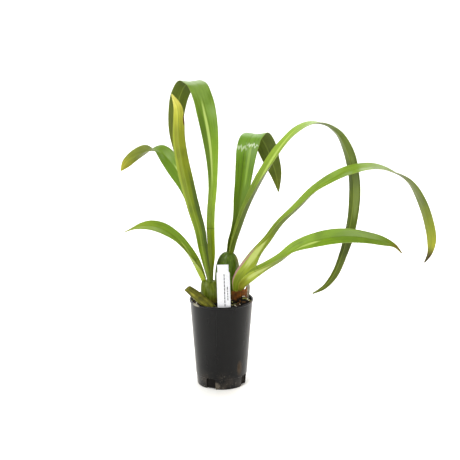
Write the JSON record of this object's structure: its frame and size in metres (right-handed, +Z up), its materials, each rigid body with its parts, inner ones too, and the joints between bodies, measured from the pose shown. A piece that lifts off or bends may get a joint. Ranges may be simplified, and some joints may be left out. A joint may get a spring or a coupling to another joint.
{
  "type": "potted orchid",
  "caption": "Orchid with strap leaves arching from green pseudobulbs, in a tapered round black nursery pot with bark mix and a plain plant label",
  "frame": {"origin": "the middle of the pot's underside", "axes": "+Z up, +X to the right seen from the front, +Y away from the front"},
  "size_m": [0.3479, 0.1401, 0.3455],
  "materials": {
    "black_polypropylene": "gloss",
    "bark_mix": "rough bark, pumice and moss",
    "white_label_plastic": "matte",
    "bulb_olive": "satin",
    "bulb_green": "satin",
    "growth_green": "satin",
    "rust_sheath": "dry",
    "brown_scale": "dry",
    "papery_bract": "papery",
    "old_stem_fibre": "fibrous",
    "leaf_green": "satin"
  },
  "bodies": {
    "root": {"pot": "black_polypropylene", "potting_mix": "bark_mix", "label": "white_label_plastic", "pseudobulb_left": "bulb_olive", "pseudobulb_centre": "bulb_green", "growth_right": "growth_green", "sheath_right": "rust_sheath", "scale_left": "brown_scale", "bract_papery": "papery_bract", "old_stem": "old_stem_fibre", "leaf_left_low": "leaf_green", "leaf_front": "leaf_green", "leaf_left_back": "leaf_green", "leaf_tall_back": "leaf_green", "leaf_centre_back": "leaf_green", "leaf_centre_arch": "leaf_green", "leaf_right_long": "leaf_green", "leaf_right_low": "leaf_green"}
  },
  "joints": []
}
